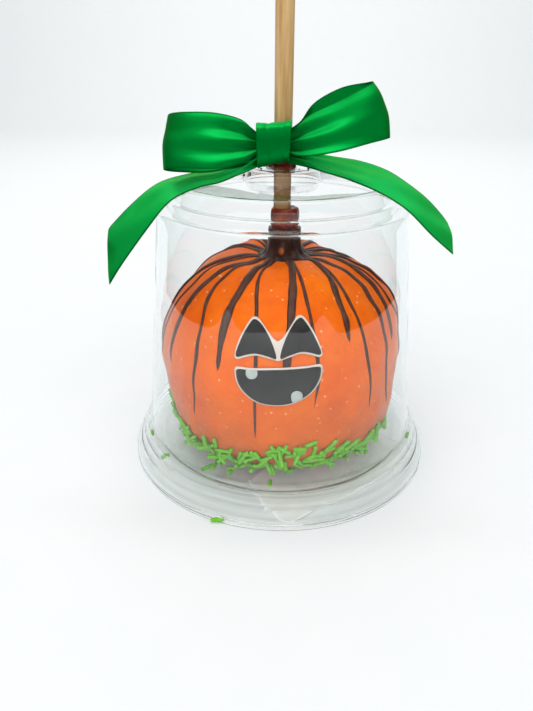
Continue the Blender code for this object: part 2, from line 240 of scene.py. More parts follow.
def makeDarkCard():
    # x = a n(t) sin(t), y = -b n(t) cos(t), straight up; n is 1 plus a bell curve at each notch. Only
    # mirrored light meets it, so it isn't seen through the pack.
    sweep = np.radians(np.linspace(-studio["cardSweep"], studio["cardSweep"], studio["cardSteps"]))
    fromNotch = [(sweep - np.radians(heading)) / studio["notchWidth"] for heading in studio["notches"]]
    notch = 1 + sum(studio["notchShare"] * np.exp(-(away ** 2)) for away in fromNotch)
    wide, deep = studio["cardReach"]
    rim = np.column_stack([wide * notch * np.sin(sweep), -deep * notch * np.cos(sweep)])
    points = np.stack([np.insert(rim, 2, height, axis=1) for height in studio["cardEdges"]])
    felt = plainFinish("blackFelt", "#1C1A19", "#141312", 3.0, 0.95, 0.0, mirroredOnly=True)
    card = addPiece("flag", points, felt, outward=False)
    card.visible_camera = card.visible_diffuse = card.visible_shadow = False


def makeStudio():
    scene = bpy.context.scene
    scene.view_settings.view_transform = "Standard"
    light = scene.cycles
    light.max_bounces = light.transmission_bounces = light.transparent_max_bounces = studio["bounces"]
    light.glossy_bounces = studio["glossyBounces"]
    world = bpy.data.worlds.new("studioWorld")
    world.use_nodes = True
    sky = world.node_tree.nodes["Background"].inputs
    sky["Color"].default_value = toLinear(studio["world"])
    sky["Strength"].default_value = studio["worldStrength"]
    scene.world = world
    makeFloor()
    makeDarkCard()
    for number, (place, target, size, power, mirrored) in enumerate(studio["lamps"]):
        data = bpy.data.lights.new(f"softLamp{number}", "AREA")
        data.size = size
        data.energy = power
        lamp = bpy.data.objects.new(f"softLamp{number}", data)
        lamp.location = place
        lamp.rotation_euler = (Vector(target) - Vector(place)).to_track_quat("-Z", "Y").to_euler()
        lamp.visible_glossy = mirrored
        scene.collection.objects.link(lamp)


def candyCoating():
    # hard sugar coating poured over caramel: bright orange, softly glossy, mottled, with pale dots painted as
    # glints, a few brown specks and painted shade that makes it browner near the foot
    material, add, coords = newMaterial("orangeCandyCoating")
    place = coords["Object"]
    patches = add("TexNoise", {"Vector": place, "Scale": 1000 / 14, "Detail": 6.0, "Roughness": 0.68})
    base = add("ValToRGB", {"Fac": patches}, ramp=[
        (0.3, "#E85C04"), (0.55, "#F66E04"), (0.75, "#F98018")])

    def dots(below, size, near, far, share, channel, over, colour):
        # round dots in the middle of cells of a size in mm, where a random channel of the cell is high
        cells = add("TexVoronoi", {"Vector": place, "Scale": 1000 / size})
        dot = add("MapRange", {
            "Value": cells, "From Min": near, "From Max": far, "To Min": share, "To Max": 0.0})
        chance = add("SeparateColor", {"Color": cells.outputs["Color"]})
        some = add("Math", {0: chance.outputs[channel], 1: over}, operation="GREATER_THAN")
        drawn = add("Math", {0: dot, 1: some}, operation="MULTIPLY")
        return add("Mix", {0: drawn, 6: below, 7: colour}, data_type="RGBA").outputs[2]

    specked = dots(base, 7.5, 0.035, 0.06, 1.0, 0, 0.8, "#A8431A")
    # painted glints: pale dots where sugar crystals catch the light
    withPaintedGlints = dots(specked, 2.5, 0.1, 0.19, 0.7, 1, 0.55, "#FFC79A")
    height = add("SeparateXYZ", {"Vector": place})
    # painted shade: the coating is painted browner from 45 mm down to the foot, in noisy patches
    low = add("MapRange", {
        "Value": height.outputs[2], "From Min": 12 * mm, "From Max": 45 * mm, "To Min": 1.5, "To Max": 0.0})
    footShadeNoise = add("TexNoise", {"Vector": place, "Scale": 1000 / 9, "Detail": 2.0})
    shadeAndStain = add("Math", {0: low, 1: footShadeNoise}, operation="MULTIPLY")
    colour = add("Mix", {0: shadeAndStain, 6: withPaintedGlints, 7: "#B9602A"}, data_type="RGBA")
    sugar = add("TexNoise", {"Vector": place, "Scale": 1000 / 1.3, "Detail": 4.0})
    wobble = add("TexNoise", {"Vector": place, "Scale": 1000 / 6, "Detail": 1.0})
    rolling = add("Bump", {"Height": wobble, "Strength": 0.5, "Distance": 1.2 * mm})
    bump = add("Bump", {"Height": sugar, "Strength": 0.8, "Distance": 0.4 * mm, "Normal": rolling})
    rough = add("MapRange", {"Value": sugar, "To Min": 0.28, "To Max": 0.5})
    return surface(material, {"Base Color": colour.outputs[2], "Roughness": rough, "Normal": bump,
                              "Specular IOR Level": 0.18})


def setChocolate():
    # dark chocolate piped while warm and set: brown, half matt, faintly streaked
    material, add, coords = newMaterial("setChocolate")
    streaks = add("TexNoise", {"Vector": coords["Object"], "Scale": 1000 / 3, "Detail": 3.0})
    colour = add("ValToRGB", {"Fac": streaks}, ramp=[(0.3, "#3E2014"), (0.7, "#552E1E")])
    bump = add("Bump", {"Height": streaks, "Strength": 0.2, "Distance": 0.3 * mm})
    return surface(material, {"Base Color": colour, "Roughness": 0.42, "Normal": bump})


def stemChocolate():
    # chocolate smeared up the stick over caramel: near black brown, with a glassy red brown top and one drop
    # in front where the caramel shows
    material, add, coords = newMaterial("stemChocolateOverCaramel")
    place = coords["Object"]
    height = add("SeparateXYZ", {"Vector": place})
    blotch = add("TexNoise", {"Vector": place, "Scale": 1000 / 4, "Detail": 3.0})
    dark = add("ValToRGB", {"Fac": blotch}, ramp=[(0.3, "#24100C"), (0.7, "#3C1D15")])
    caramel = add("ValToRGB", {"Fac": blotch}, ramp=[
        (0.35, "#481008"), (0.55, "#76240C"), (0.72, "#B8581C")])
    top = add("MapRange", {"Value": height.outputs[2], "From Min": 84.7 * mm, "From Max": 85.8 * mm})
    colour = add("Mix", {0: top, 6: dark, 7: caramel}, data_type="RGBA")
    gap = add("VectorMath", {0: place, 1: (-0.5 * mm, -7.8 * mm, 78.3 * mm)}, operation="DISTANCE")
    drop = add("MapRange", {
        "Value": gap.outputs["Value"], "From Min": 1 * mm, "From Max": 1.7 * mm,
        "To Min": 0.9, "To Max": 0.0})
    colour = add("Mix", {0: drop, 6: colour.outputs[2], 7: "#9A4A14"}, data_type="RGBA")
    bump = add("Bump", {"Height": blotch, "Strength": 0.3, "Distance": 0.5 * mm})
    return surface(material, {"Base Color": colour.outputs[2], "Roughness": 0.35, "Normal": bump,
                              "Specular IOR Level": 0.4})


def birchDowel():
    # turned birch, sanded and bare: pale tan with fine darker pores drawn out along the stick, and a caramel
    # stain low down
    material, add, coords = newMaterial("birchDowel")
    stretch = add("Mapping", {"Vector": coords["Object"], "Scale": (1.0, 1.0, 0.045)})
    grain = add("TexNoise", {"Vector": stretch, "Scale": 1000 / 1.1, "Detail": 5.0})
    colour = add("ValToRGB", {"Fac": grain}, ramp=[(0.3, "#A87F4A"), (0.5, "#C6A06A"), (0.7, "#D4B384")])
    height = add("SeparateXYZ", {"Vector": coords["Object"]})
    low = add("MapRange", {
        "Value": height.outputs[2], "From Min": 100 * mm, "From Max": 108 * mm,
        "To Min": 0.85, "To Max": 0.0})
    shadeAndStain = add("Mix", {0: low, 6: colour, 7: "#8A6236"}, data_type="RGBA")
    bump = add("Bump", {"Height": grain, "Strength": 0.3, "Distance": 0.2 * mm})
    return surface(material, {"Base Color": shadeAndStain.outputs[2], "Roughness": 0.55, "Normal": bump})


def clearPet(name, ripple, scuffs=0.0):
    # thermoformed PET: colourless, glossy, faintly uneven; lamps pass straight through it. Scuffs blur a ring
    # of it round the apple's foot, 35 to 45 mm from the centre.
    material, add, coords = newMaterial(name)
    place = coords["Object"]
    clear, smooth = "#FBFDFD", 0.02
    uneven = add("TexNoise", {"Vector": place, "Scale": 1000 / 16, "Detail": 1.0})
    bump = add("Bump", {"Height": uneven, "Strength": ripple, "Distance": 1 * mm})
    look = {"Base Color": clear, "Roughness": smooth, "IOR": 1.42, "Transmission Weight": 1.0, "Normal": bump}
    if scuffs:
        flat = add("VectorMath", {0: place, 1: (1.0, 1.0, 0.0)}, operation="MULTIPLY")
        away = add("VectorMath", {0: flat}, operation="LENGTH").outputs["Value"]
        inside = add("MapRange", {
            "Value": away, "From Min": 34 * mm, "From Max": 40 * mm, "To Max": scuffs})
        outside = add("MapRange", {
            "Value": away, "From Min": 43.5 * mm, "From Max": 45.5 * mm, "To Min": 1.0, "To Max": 0.0})
        ring = add("Math", {0: inside, 1: outside}, operation="MULTIPLY")
        blotch = add("TexNoise", {
            "Vector": place, "Scale": 1000 / 5, "Detail": 5.0, "Roughness": 0.7})
        patches = add("MapRange", {"Value": blotch, "From Min": 0.45, "From Max": 0.62})
        share = add("Math", {0: ring, 1: patches}, operation="MULTIPLY")
        tint = add("Mix", {0: share, 6: clear, 7: "#EEF0EE"}, data_type="RGBA")
        look["Roughness"] = add("MapRange", {"Value": share, "To Min": smooth, "To Max": 0.35})
        look["Base Color"] = tint.outputs[2]
    lampRays = add("LightPath").outputs["Is Shadow Ray"]
    return surface(material, look, through=lampRays, tint="#FCFDFD")


def greenSatin():
    # woven polyester satin: emerald, smooth sheen, fine weft lines and a firmer selvedge along both edges;
    # painted light and shade in its colour
    material, add, coords = newMaterial("greenSatin")
    flat = add("SeparateXYZ", {"Vector": coords["UV"]})
    # weft lines 0.4 mm apart, coarser than real thread so that they show
    weft = add("Math", {0: flat.outputs[1], 1: 2 * math.pi * 1000 / 0.4}, operation="MULTIPLY")
    line = add("Math", {0: weft}, operation="SINE")
    middle = add("Math", {0: flat.outputs[0], 1: 0.5}, operation="SUBTRACT")
    away = add("Math", {0: middle}, operation="ABSOLUTE")
    selvedge = add("MapRange", {"Value": away, "From Min": 0.465, "From Max": 0.475})
    cloud = add("TexNoise", {"Vector": coords["Object"], "Scale": 1000 / 10, "Detail": 2.0})
    # painted light and shade: painted paler where the satin faces up or hangs low, as if lit from high up,
    # darker where it faces the front, with painted highlights at the ramp's pale end
    facing = add("NewGeometry").outputs["Normal"]
    upward = add("SeparateXYZ", {"Vector": facing})
    level = add("SeparateXYZ", {"Vector": coords["Object"]})
    hanging = add("Math", {0: level.outputs[2], 1: -8.0, 2: 0.89}, operation="MULTIPLY_ADD")
    paintedLight = add("Math", {0: upward.outputs[2], 1: hanging}, operation="ADD")
    cloudAndPaintedLight = add("Math", {0: cloud, 1: 0.1, 2: paintedLight}, operation="MULTIPLY_ADD")
    body = add("ValToRGB", {"Fac": cloudAndPaintedLight}, ramp=[
        (0.1, "#008A34"), (0.56, "#00782C"), (0.65, "#008632"),
        (0.74, "#0CB84E"), (0.9, "#10C054"), (1.0, "#28DA6C")])
    colour = add("Mix", {0: selvedge, 6: body, 7: "#00722A"}, data_type="RGBA")
    bump = add("Bump", {"Height": line, "Strength": 0.12, "Distance": 0.1 * mm})
    return surface(material, {
        "Base Color": colour.outputs[2], "Roughness": 0.36, "Normal": bump, "Metallic": 0.6,
        "Specular IOR Level": 0.05, "Specular Tint": "#40C868", "Anisotropic": 0.6})


def plainFinish(name, light, dark, size, roughness, strength, mirroredOnly=False):
    # a coloured finish with soft mottling of the given size in millimetres and the same relief
    material, add, coords = newMaterial(name)
    mottle = add("TexNoise", {"Vector": coords["Object"], "Scale": 1000 / size, "Detail": 3.0})
    colour = add("ValToRGB", {"Fac": mottle}, ramp=[(0.3, dark), (0.7, light)])
    bump = add("Bump", {"Height": mottle, "Strength": strength, "Distance": 0.2 * mm})
    look = {"Base Color": colour, "Roughness": roughness, "Normal": bump}
    if not mirroredOnly:
        return surface(material, look)
    depth = add("LightPath").outputs["Glossy Depth"]
    return surface(material, look, through=add("Math", {0: depth, 1: 0.5}, operation="LESS_THAN"))


makeCamera()
makeStudio()
print("camera and studio ready")
coating = candyCoating()
chocolate = setChocolate()
stemFinish = stemChocolate()
wood = birchDowel()
domePet = clearPet("clearPetDome", 0.05)
trayPet = clearPet("clearPetTray", 0.15, scuffs=0.8)
satin = greenSatin()
sprinkleSugar = plainFinish("greenSprinkleSugar", "#78C824", "#5EB014", 1.5, 0.45, 0.2)  # pressed sugar, dull
filmMargin = plainFinish("filmMargin", "#E2D8CE", "#DACEC4", 3.0, 0.4, 0.05)  # bare edge of the printed film
filmInk = plainFinish("filmCharcoalInk", "#231F21", "#191617", 5.0, 0.4, 0.05)  # charcoal print, satin
filmTooth = plainFinish("filmPaleGrey", "#BCC2BF", "#B0B7B4", 2.0, 0.4, 0.05)  # pale grey print
paper = plainFinish("uncoatedPaper", "#FFFFFB", "#FAFAF5", 6.0, 0.85, 0.05)  # plain office paper
crumbSugar = plainFinish("caramelCrumb", "#8A3A18", "#5A1E0E", 1.0, 0.35, 0.4)  # broken caramel and chocolate
print("materials ready")


apple = {
    "radius": 43.9 * mm, "waist": 40.0 * mm, "rise": 38.0 * mm, "drop": 37.0 * mm,
    "power": 2.3, "footPower": 3.2, "foot": 5.9 * mm,
    "dimpleDepth": 4.5 * mm, "dimpleRadius": 11.0 * mm,
    # heights and sizes of the lumps and dents, how far they are sunk, and the radius inside which they fade
    "lump": 0.75 * mm, "dent": 0.3 * mm, "lumpSize": 42 * mm, "dentSize": 12 * mm, "sink": 0.35 * mm,
    "fade": 12 * mm, "rows": 190, "columns": 300,
}


def unevenness(points):
    # two sizes of waves, sunk so that they seldom stand above the smooth shape
    lumps, dents = waves(points, apple["lumpSize"], 3), waves(points, apple["dentSize"], 5)
    return apple["lump"] * lumps + apple["dent"] * dents - apple["sink"]


def appleHalf(above):
    # half height and power of the squared ellipse above or below the waist
    return np.where(above, apple["rise"], apple["drop"]), np.where(above, apple["power"], apple["footPower"])


def appleSurface(polar, azimuth, lift=0.0):
    # squared ellipse of revolution: radius = R |sin|^(2/p), height = waist + H sign(cos) |cos|^(2/p), less a
    # dimple d exp(-(r/w)^2) at the top, plus two sizes of waves, flat at the foot. Azimuth 0 faces -Y.
    c, s = np.cos(polar), np.sin(polar)
    reach, power = appleHalf(c > 0)
    radius = apple["radius"] * np.abs(s) ** (2 / power)
    height = apple["waist"] + reach * np.sign(c) * np.abs(c) ** (2 / power)
    dimple = apple["dimpleDepth"] * np.exp(-((radius / apple["dimpleRadius"]) ** 2))
    around = turned(azimuth, radius, height - np.where(c > 0, dimple, 0.0))
    uneven = unevenness(around) * np.minimum(1.0, radius / apple["fade"]) + lift
    points = around + turned(azimuth, s, c) * uneven[..., None]
    points[..., 2] = np.maximum(points[..., 2], apple["foot"] + lift)
    return points


def polarAtHeight(height):
    # the squared ellipse solved for its polar angle: |cos| = (|height - waist| / H)^(p/2)
    above = height > apple["waist"]
    reach, power = appleHalf(above)
    share = np.clip(np.abs(height - apple["waist"]) / reach, 0, 1) ** (power / 2)
    return np.arccos(np.where(above, share, -share))


def makeApple():
    polar, azimuth = np.linspace(0, math.pi, apple["rows"])[:, None], fullTurn(apple["columns"])[None, :]
    addPiece("coatedApple", appleSurface(polar, azimuth), coating, "coating", "apple", closed="columns")


stem = {
    # radius and height in mm, top to foot
    "profile": [
        (1.8, 91.0), (3.9, 91.3), (4.5, 90.7), (4.75, 89.4), (4.8, 87.4), (4.65, 86.0), (4.6, 85.3),
        (4.9, 84.9), (5.45, 84.7), (5.65, 84.0), (5.6, 82.0), (5.8, 79.4), (6.3, 77.6), (7.3, 76.0),
        (9.2, 75.2), (9.6, 74.6), (8.0, 73.6), (3.0, 71.5),
    ],
    "rows": 110, "steps": 96,
    "lean": 0.9 * mm,  # how far the sleeve sits off the stick's axis, to the right
    # ridges run out below a height, over a fall; the drip's heading, height, depth and half sizes
    "ridgeTop": 79 * mm, "ridgeFall": 4 * mm,
    "dripHeading": -0.1, "dripHeight": 78.0 * mm, "dripDepth": 1.5 * mm, "dripSize": (0.17, 1.7 * mm),
}


def makeStem():
    # turned profile, its radius swelled by runs down the side and pulled out in ridges at the foot
    profile = smoothPath(stem["profile"], stem["rows"]) * mm
    azimuth = fullTurn(stem["steps"])
    radius, height = profile[:, None, 0], profile[:, None, 1]
    runs = 0.22 * mm * np.sin(5 * azimuth + 1.0) + 0.14 * mm * np.sin(9 * azimuth + 200 * height)
    spread = np.clip((stem["ridgeTop"] - height) / stem["ridgeFall"], 0, 1)
    ridges = (0.5 * np.sin(12 * azimuth) + 0.5 * np.sin(7 * azimuth + 2)) * mm * spread
    fromDrip = (azimuth - stem["dripHeading"] + math.pi) % (2 * math.pi) - math.pi
    wide, tall = stem["dripSize"]
    drip = stem["dripDepth"] * np.exp(-((fromDrip / wide) ** 2) - ((height - stem["dripHeight"]) / tall) ** 2)
    side = np.clip((radius - 3.2 * mm) / (1 * mm), 0, 1)
    points = turned(azimuth, radius + side * (runs + ridges + drip), height)
    points[..., 0] += stem["lean"]
    addPiece("chocolateStem", points, stemFinish, "chocolate", "stem", closed="rows columns")


stick = {
    "radius": 2.92 * mm, "foot": 34.0 * mm, "top": 174.0 * mm, "round": 0.5 * mm, "rows": 60, "steps": 48,
    "uneven": 0.008,  # share of the radius
}


def makeStick():
    # cylinder with rounded ends, its radius uneven by a few hundredths of a millimetre
    turn = np.linspace(0, math.pi / 2, 5)
    edge, top, foot = stick["round"], stick["top"], stick["foot"]
    radius = np.concatenate([[0], stick["radius"] - edge + edge * np.sin(turn),
                             np.full(stick["rows"], stick["radius"]),
                             stick["radius"] - edge + edge * np.cos(turn), [0]])[:, None]
    height = np.concatenate([[top], top - edge + edge * np.cos(turn),
                             np.linspace(top - 3 * edge, foot + 3 * edge, stick["rows"]),
                             foot + edge - edge * np.sin(turn), [foot]])[:, None]
    azimuth = fullTurn(stick["steps"])
    points = turned(azimuth, radius * (1 - stick["uneven"] * (1 + np.sin(3 * azimuth + 90 * height))), height)
    addPiece("woodenStick", points, wood, "wood", "stick", closed="columns")


makeStem()
makeStick()
print("stem and stick ready")


face = {
    "centre": -0.3 * mm, "tilt": math.radians(2.3), "pivot": 52.1 * mm, "scale": 0.982, "raise": 0.3 * mm,
    "lift": 0.95 * mm, "thickness": 0.25 * mm,
    # how far the print and the teeth stand over the margin, and how thick they are
    "inkLift": 0.08 * mm, "inkThickness": 0.07 * mm, "toothLift": 0.15 * mm, "toothThickness": 0.06 * mm,
    # half outlines in mm from the face's centre line
    "eyeTop": [
        (0.0, 59.7), (1.5, 60.7), (3.2, 62.7), (5.4, 65.5), (6.7, 66.1), (8.1, 65.4), (10.0, 62.9),
        (11.6, 60.2), (12.8, 57.2), (13.25, 55.5),
    ],
    "eyeBottom": [
        (0.0, 54.2), (3.2, 55.1), (6.6, 55.8), (9.6, 55.3), (12.0, 54.5), (12.9, 54.6), (13.25, 55.1),
    ],
    "eyeInk": [
        (0.7, 54.95), (1.1, 57.6), (2.6, 61.0), (4.8, 64.3), (6.65, 65.55), (8.05, 64.7), (10.5, 61.2),
        (12.75, 56.4), (12.4, 55.1), (9.8, 55.85), (6.8, 56.35), (3.2, 55.65),
    ],
    "eyeHalfWidth": 13.25, "eyeCentre": (6.6, 58.6), "mouthCentre": (0, 47),
    "mouthHalfWidth": 13.4, "mouthTop": 52.1, "mouthDrop": 51.4, "mouthDepth": 12.4,
    "margin": 0.55, "toothMargin": 0.4,
    "teeth": [((-8.1, 50.6), 1.75, 1), ((5.4, 42.5), 1.8, -1)],  # centre, radius, side drawn out to the edge
    "rows": 14, "steps": 120,
}


def onApple(flat, lift):
    # flat (sideways, height) in mm, tilted about the pivot, then pushed back to the apple's front:
    # y = -sqrt(r(z)^2 - x^2)
    scale = face["scale"] * mm
    x, z = flat[..., 0] * scale, flat[..., 1] * scale - face["pivot"] * face["scale"]
    cosine, sine = math.cos(face["tilt"]), math.sin(face["tilt"])
    sideways = face["centre"] + x * cosine - z * sine
    height = face["pivot"] + face["raise"] + x * sine + z * cosine
    reach, power = appleHalf(height > apple["waist"])
    radius = apple["radius"] * (1 - (np.abs(height - apple["waist"]) / reach) ** power) ** (1 / power)
    smooth = np.stack([sideways, -np.sqrt(radius**2 - sideways**2), height], -1)
    return smooth + unit(smooth * (1.0, 1.0, 0.0)) * (unevenness(smooth) + lift)[..., None]


def addFilm(name, outline, centre, lift, thickness, material, node=None, rows=face["rows"]):
    # closed film: rings from the centre to the outline on the front, then back along the rear
    centre, outline = np.asarray(centre), np.asarray(outline)
    flat = centre + np.linspace(0, 1, rows)[:, None, None] * (outline - centre)
    points = np.concatenate([onApple(flat, lift), onApple(flat[::-1], lift - thickness)])
    addPiece(name, points, material, "printed_film", node, closed="columns", smooth=False)


def addEyesMargin(top, bottom):
    # closed film between two outlines given as heights over the half width, mirrored about the centre line
    rows, steps = face["rows"], face["steps"]
    x = face["eyeHalfWidth"] * np.sin(np.linspace(-math.pi / 2, math.pi / 2, steps))
    upper, lower = (np.interp(np.abs(x), *edge) for edge in (top, bottom))
    heights = upper + (lower - upper) * np.linspace(0, 1, rows)[:, None]
    flat = np.stack([np.broadcast_to(x, (rows, steps)), heights], -1)
    front, rear = onApple(flat, face["lift"]), onApple(flat, face["lift"] - face["thickness"])
    sides = [np.stack([front[:, k], rear[:, k]]) for k in (0, -1)]
    points = np.vstack([grid.reshape(-1, 3) for grid in (front, rear[::-1], *sides)])
    used = 2 * rows * steps
    side = gridFaces(2, rows)
    faces = np.vstack([gridFaces(2 * rows, steps, "rows"), side + used, side[:, ::-1] + used + 2 * rows])
    addPiece("eyesMargin", points, filmMargin, "printed_film", "face_eyes", faces=faces, smooth=False)


def mouthOutline(inset):
    # half ellipse below, nearly straight above, corners rounded by the smooth path
    width, depth = face["mouthHalfWidth"] - inset, face["mouthDepth"] - inset
    angle = np.radians(np.linspace(8, 172, 15))
    lower = np.column_stack([width * np.cos(angle), face["mouthDrop"] - 0.3 * inset - depth * np.sin(angle)])
    upper = [(x, face["mouthTop"] - inset) for x in np.linspace(-width + 0.5, width - 0.5, 7)]
    return smoothPath(np.vstack([lower, upper]), 160, closed=True)


def makeFace():
    lift, inkLift, inkThickness = face["lift"], face["lift"] + face["inkLift"], face["inkThickness"]
    addEyesMargin(*(smoothPath(face[edge], face["steps"]).T for edge in ("eyeTop", "eyeBottom")))
    for name, side in (("eyeInkLeft", -1), ("eyeInkRight", 1)):
        outline = smoothPath([(side * x, z) for x, z in face["eyeInk"]], face["steps"], closed=True)
        centre = (side * face["eyeCentre"][0], face["eyeCentre"][1])
        addFilm(name, outline, centre, inkLift, inkThickness, filmInk)
    centre = face["mouthCentre"]
    addFilm("mouthMargin", mouthOutline(0), centre, lift, face["thickness"], filmMargin, "face_mouth")
    addFilm("mouthInk", mouthOutline(face["margin"]), centre, inkLift, inkThickness, filmInk)
    # the teeth are held inside the mouth: never above its top line or outside the lower half ellipse
    angle = fullTurn(48)
    width, depth = face["mouthHalfWidth"] - face["toothMargin"], face["mouthDepth"] - face["toothMargin"]
    highest = mouthOutline(face["toothMargin"])[:, 1].max()
    for number, ((x, z), radius, edge) in enumerate(face["teeth"]):
        reach = np.where(np.sin(angle) * edge > 0, 2.0, 1.0)
        ring = np.column_stack([x + radius * np.cos(angle), z + reach * radius * np.sin(angle)])
        lowest = face["mouthDrop"] - depth * np.sqrt(np.clip(1 - (ring[:, 0] / width) ** 2, 0, 1))
        ring[:, 1] = np.clip(ring[:, 1], lowest, highest)
        toothLift, thickness = lift + face["toothLift"], face["toothThickness"]
        addFilm(f"tooth{number}", ring, (x, z), toothLift, thickness, filmTooth, rows=6)


drizzle = {
    # each line: width in mm, share of its length after which it thins, then azimuth in degrees from the front
    # and height in mm, from the stem's foot to its tip
    "lines": [
        (2.2, 0.7, [(-48, 76.5), (-55, 73.4), (-58, 67.7), (-57.5, 59.6), (-58, 54.1), (-58, 43.5)]),
        (1.35, 0.85, [(-45, 76.6), (-48, 72.1), (-45, 68.1), (-41, 62.5), (-40, 55.2), (-39, 46.3),
                      (-41, 28.7)]),
        (2.8, 0.75, [(-26, 76.8), (-26, 73.2), (-27, 67.7), (-27, 62.2), (-26, 49.0)]),
        (1.15, 0.85, [(-17, 77.1), (-18, 74.8), (-15, 70.7), (-12, 66.0), (-10, 54.0), (-10, 26.5)]),
        (2.5, 0.8, [(13, 77.1), (8, 72.4), (5, 64.6), (3, 53.5), (3, 44.0)]),
        (1.15, 0.9, [(16, 76.6), (15, 72.3), (15, 66.1), (16, 54.2), (16, 46.4), (15, 36.9)]),
        (2.2, 0.85, [(46, 76.7), (41, 74.2), (36, 69.7), (34, 63.2), (33, 57.2)]),
        (1.2, 0.85, [(47, 75.7), (43, 69.5), (42, 62.2), (41, 53.6), (42, 39.9), (43, 32.5)]),
        (2.1, 0.45, [(62, 76.4), (62.5, 71.3), (59.5, 65.4), (57.5, 59.9), (55.5, 52.7), (55, 42.9),
                     (57, 29.9)]),
        (2.3, 0.8, [(84, 75.9), (75, 70.0), (69.5, 63.3), (65.5, 58.6), (61, 52.1)]),
        (1.1, 0.85, [(88, 75.9), (80, 69.0), (77, 61.0), (76, 50.0), (76, 40.0)]),
        (2.4, 0.5, [(100, 76.5), (95, 71.0), (91, 64.0), (89, 56.0), (90, 47.0)]),
        (2.3, 0.6, [(-74, 76.4), (-80, 71.0), (-84, 64.0), (-83, 56.0), (-80, 40.0)]),
        (1.0, 0.85, [(-66, 76.6), (-70, 71.0), (-72, 62.0), (-71, 50.0), (-72, 42.0)]),
    ],
    "backFrom": 113, "backTo": 248, "backCount": 10, "backWidths": (2.3, 1.2), "backSeed": 4,
    "start": 0.115,  # polar angle inside the stem's foot
    "merge": 2.5, "mergeShare": 0.16,  # width in mm and share of the length where the lines run together
    "steps": 90, "around": 12, "seed": 8,
    # the printed face presses the lines flat this far to each side and between these heights
    "pressedHalfWidth": 15 * mm, "pressedHeights": (36 * mm, 68 * mm), "pressed": 0.5 * mm,
}


def backLines():
    # the lines round the back, spaced evenly with some chance in heading, width and length
    rng = np.random.default_rng(drizzle["backSeed"])
    count = drizzle["backCount"]
    start = np.linspace(drizzle["backFrom"], drizzle["backTo"], count) + rng.uniform(-3, 3, count)
    turn = rng.uniform(-6, 6, (count, 3)).cumsum(1)
    tip = rng.uniform(30, 56, count)
    width = np.resize(drizzle["backWidths"], count)
    return [(w, 0.7, [(a, 76.5), (a + t[0], 70.0), (a + t[1], 0.5 * (70 + z)), (a + t[2] * 0.7, z)])
            for w, a, t, z in zip(width, start, turn, tip)]


def makeDrizzle():
    # each thread: an oval section carried along a smooth path over the coating. Its width falls from the
    # merged start to its own, then to a thin tail; it is pressed flat where the printed face lies over it.
    parts, faces = [], []
    steps, around = drizzle["steps"], drizzle["around"]
    t = np.linspace(0, 1, steps)
    angle = fullTurn(around)
    low, high = drizzle["pressedHeights"]
    rng = np.random.default_rng(drizzle["seed"])
    for number, (width, thick, places) in enumerate(drizzle["lines"] + backLines()):
        azimuths, heights = np.array(places).T
        polars = np.r_[drizzle["start"], polarAtHeight(heights * mm)]
        path = smoothPath(np.column_stack([np.r_[azimuths[0], azimuths], polars]), 4 * steps)
        # stations spaced evenly along the line, not by control point
        run = np.concatenate([[0], np.cumsum(np.hypot(*np.diff(path * (0.012, 1.0), axis=0).T))])
        azimuth = np.interp(t * run[-1], run, np.radians(path[:, 0]))
        polar = np.interp(t * run[-1], run, path[:, 1])
        centre = appleSurface(polar, azimuth)
        along = unit(np.gradient(centre, axis=0))
        out = unit(appleSurface(polar, azimuth, 1 * mm) - centre)
        side = unit(np.cross(along, out))
        tail = np.clip((1 - t) / max(0.05, 1 - thick), 0, 1) ** 0.8
        merged = np.clip(1 - t / drizzle["mergeShare"], 0, 1) ** 2
        wander = 1 + 0.10 * np.sin(rng.uniform(14, 22) * t + rng.uniform(0, 6))
        wander = wander + 0.05 * np.sin(41 * t + rng.uniform(0, 6))
        own = width * (0.3 + 0.7 * tail) * wander
        size = 0.5 * mm * (own * (1 - merged) + max(drizzle["merge"], width) * merged)
        size = size * np.minimum(1, (1 - t) / 0.04) ** 0.7
        tall = 0.55 * size + 0.1 * mm
        x, y, z = centre.T
        inFront = (np.abs(x - face["centre"]) < drizzle["pressedHalfWidth"]) & (y < 0)
        tall = np.where(inFront & (z > low) & (z < high), np.minimum(tall, drizzle["pressed"]), tall)
        ring = (centre[:, None, :] + side[:, None, :] * (size[:, None] * np.cos(angle))[..., None]
                + out[:, None, :] * (tall[:, None] * np.sin(angle))[..., None])
        ring[-1] = centre[-1]
        ring = np.concatenate([np.broadcast_to(ring[0].mean(0), ring[:1].shape), ring])
        parts.append(ring.reshape(-1, 3))
        faces.append(gridFaces(steps + 1, around, "columns") + number * (steps + 1) * around)
    addPiece("chocolateDrizzle", np.vstack(parts), chocolate, "chocolate", faces=np.vstack(faces))


makeApple()
makeFace()
makeDrizzle()
print("apple, face and drizzle ready")


def roundCorner(radius, height, size, startDeg, endDeg, count=6):
    # arc of the given size about (radius, height)
    angle = np.radians(np.linspace(startDeg, endDeg, count))
    return [(radius + size * math.cos(a), height + size * math.sin(a)) for a in angle]


